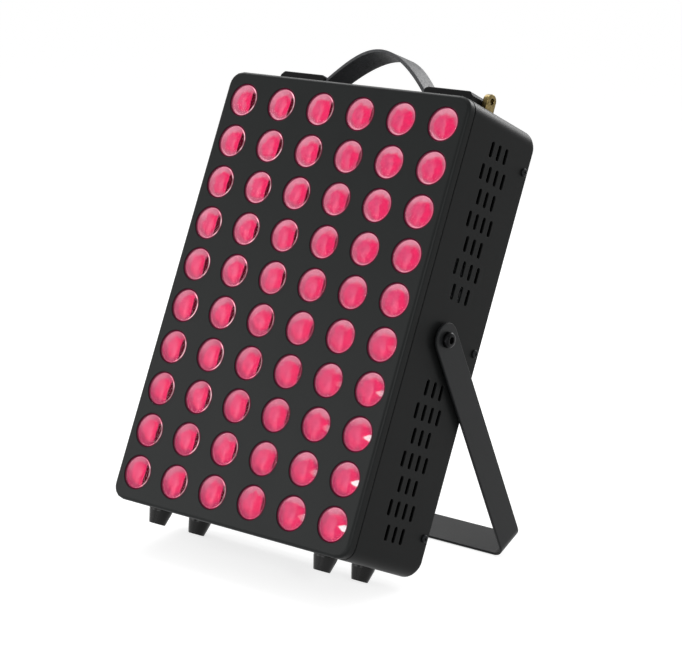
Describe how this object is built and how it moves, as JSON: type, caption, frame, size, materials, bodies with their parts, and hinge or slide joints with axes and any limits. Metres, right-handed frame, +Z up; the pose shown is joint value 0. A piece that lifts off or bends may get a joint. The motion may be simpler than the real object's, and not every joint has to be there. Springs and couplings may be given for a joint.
{
  "type": "red light therapy panel",
  "caption": "Table-top light panel: slim vented housing with a grid of round lenses, leaning on a folding U bracket, with a strap handle, feet and rear fans.",
  "frame": {"origin": "centre of the outline in X and Y, on the plane the feet and the bracket stand on", "axes": "+X to the right seen from the front, +Y towards the back, +Z up"},
  "size_m": [0.2256, 0.1898, 0.3429],
  "materials": {
    "coated_steel": "satin charcoal powder coat",
    "bracket_steel": "satin charcoal powder coat",
    "lit_lens": "clear pink, lit from behind",
    "foot_rubber": "semi-gloss black",
    "strap_vinyl": "grained charcoal vinyl over a spring band",
    "black_plastic": "satin black",
    "gloss_plastic": "slight gloss black",
    "zinc_steel": "zinc plated",
    "black_steel": "blackened",
    "eye_brass": "dulled brass",
    "plain_aluminium": "mill finish",
    "washer_nylon": "natural nylon"
  },
  "bodies": {
    "panel": {"front_panel": "coated_steel", "housing": "coated_steel", "rear_cover": "coated_steel", "lamp_board_1": "lit_lens", "lamp_board_2": "lit_lens", "lamp_board_3": "lit_lens", "lamp_board_4": "lit_lens", "lamp_board_5": "lit_lens", "foot_front_right": "foot_rubber", "foot_front_left": "foot_rubber", "foot_rear_right": "foot_rubber", "foot_rear_left": "foot_rubber", "handle_strap": "strap_vinyl", "fan_frame_upper": "black_plastic", "fan_frame_lower": "black_plastic", "power_inlet": "black_plastic", "handle_cap_right": "gloss_plastic", "handle_cap_left": "gloss_plastic", "switch_body_red": "gloss_plastic", "switch_body_infrared": "gloss_plastic", "finger_guard_upper": "zinc_steel", "finger_guard_lower": "zinc_steel", "pivot_screw_right": "zinc_steel", "pivot_screw_left": "zinc_steel", "rivet_nut_right": "zinc_steel", "rivet_nut_left": "zinc_steel", "handle_screw_right": "zinc_steel", "handle_screw_left": "zinc_steel", "foot_screw_front_right": "zinc_steel", "foot_screw_front_left": "zinc_steel", "foot_screw_rear_right": "zinc_steel", "foot_screw_rear_left": "zinc_steel", "side_screw_right_top": "black_steel", "side_screw_right_middle": "black_steel", "side_screw_right_bottom": "black_steel", "side_screw_left_top": "black_steel", "side_screw_left_middle": "black_steel", "side_screw_left_bottom": "black_steel", "hanging_eye_right": "eye_brass", "hanging_eye_left": "eye_brass", "heat_sink": "plain_aluminium", "heat_sink_rail_right": "plain_aluminium", "heat_sink_rail_left": "plain_aluminium", "lamp_driver_right": "plain_aluminium", "lamp_driver_left": "plain_aluminium", "pivot_washer_right": "washer_nylon", "pivot_washer_left": "washer_nylon"},
    "bracket": {"stand": "bracket_steel"},
    "upper_rotor": {"fan_rotor_upper": "black_plastic"},
    "lower_rotor": {"fan_rotor_lower": "black_plastic"},
    "red_rocker": {"switch_rocker_red": "gloss_plastic"},
    "infrared_rocker": {"switch_rocker_infrared": "gloss_plastic"}
  },
  "joints": [
    {"name": "bracket_pivot", "type": "hinge", "parent": "panel", "child": "bracket", "pos_m": [0, -0.00249, 0.16547], "axis": [1, 0, 0], "range_deg": [-218, 119]},
    {"name": "upper_fan_spin", "type": "hinge", "parent": "panel", "child": "upper_rotor", "pos_m": [0, 0.06052, 0.23385], "axis": [0, 0.9272, -0.3746], "continuous": true},
    {"name": "lower_fan_spin", "type": "hinge", "parent": "panel", "child": "lower_rotor", "pos_m": [0, 0.00882, 0.1059], "axis": [0, 0.9272, -0.3746], "continuous": true},
    {"name": "red_switch_rock", "type": "hinge", "parent": "panel", "child": "red_rocker", "pos_m": [0.03, -0.00385, 0.03983], "axis": [1, 0, 0], "range_deg": [-16, 0]},
    {"name": "infrared_switch_rock", "type": "hinge", "parent": "panel", "child": "infrared_rocker", "pos_m": [0.056, -0.00385, 0.03983], "axis": [1, 0, 0], "range_deg": [-16, 0]}
  ]
}
